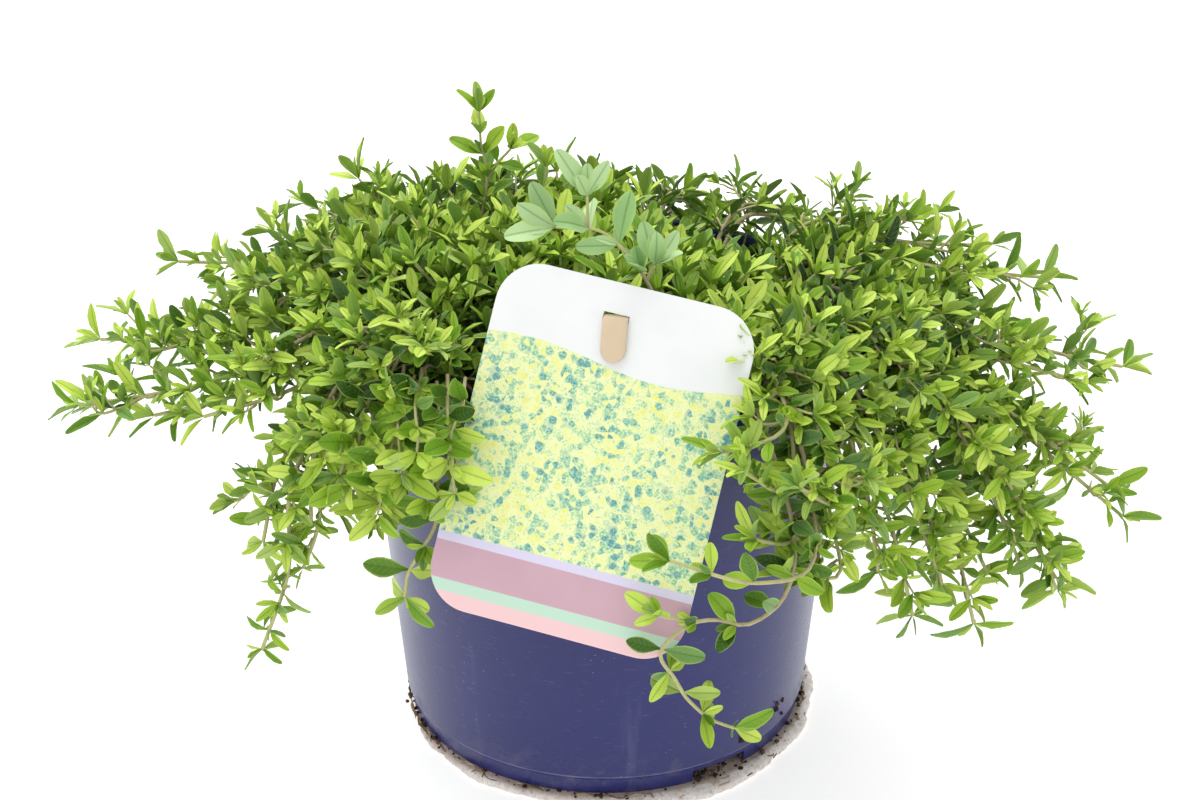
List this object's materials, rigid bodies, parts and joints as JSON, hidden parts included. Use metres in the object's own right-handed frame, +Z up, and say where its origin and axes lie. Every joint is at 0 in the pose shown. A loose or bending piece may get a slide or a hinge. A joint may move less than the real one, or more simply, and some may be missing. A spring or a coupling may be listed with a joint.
{
  "type": "potted thyme plant",
  "caption": "Low spreading thyme with small lime and green leaves in a round nursery pot, with a hanging plant label",
  "frame": {"origin": "middle of the flat underside of the root mat, on the surface that the pot stands on", "axes": "+Z up, -Y out of the side that the label hangs on, +X to the right of a viewer who faces the label; millimetres in the source, metres in the row"},
  "size_m": [0.3336, 0.2403, 0.198],
  "materials": {
    "root_mat": "matte, matted roots",
    "pot_plastic": "satin, scuffed",
    "compost": "matte, crumbly bark and peat",
    "label_card": "satin card with a printed field",
    "stake_plastic": "satin",
    "leaf_mid": "satin leaves on woody stems",
    "leaf_deep": "satin leaves on woody stems",
    "leaf_bright": "satin leaves on woody stems",
    "leaf_shade": "satin leaves on woody stems"
  },
  "bodies": {
    "root": {"root_mat": "root_mat", "pot": "pot_plastic", "compost": "compost", "plant_label": "label_card", "label_stake": "stake_plastic", "thicket": "leaf_mid", "stem_left_low": "leaf_deep", "stem_left_long": "leaf_bright", "stem_left_upper": "leaf_shade", "stem_left_inner": "leaf_mid", "stem_back_left_low": "leaf_deep", "stem_hanging_left": "leaf_bright", "stem_low_left": "leaf_shade", "stem_over_left_rim": "leaf_mid", "stem_front_left": "leaf_deep", "stem_back_left": "leaf_bright", "stem_back_middle_left": "leaf_shade", "stem_back_middle": "leaf_mid", "stem_back_middle_right": "leaf_deep", "stem_back_right": "leaf_bright", "stem_right_upper": "leaf_shade", "stem_right_shoulder": "leaf_mid", "stem_right_high": "leaf_deep", "stem_right_long": "leaf_bright", "stem_right_low": "leaf_shade", "stem_right_drooping": "leaf_mid", "stem_right_hanging": "leaf_deep", "stem_front_right_low": "leaf_bright", "stem_over_label": "leaf_shade", "stem_front_right": "leaf_mid", "stem_across_label": "leaf_deep", "stem_trailing": "leaf_bright"}
  },
  "joints": []
}
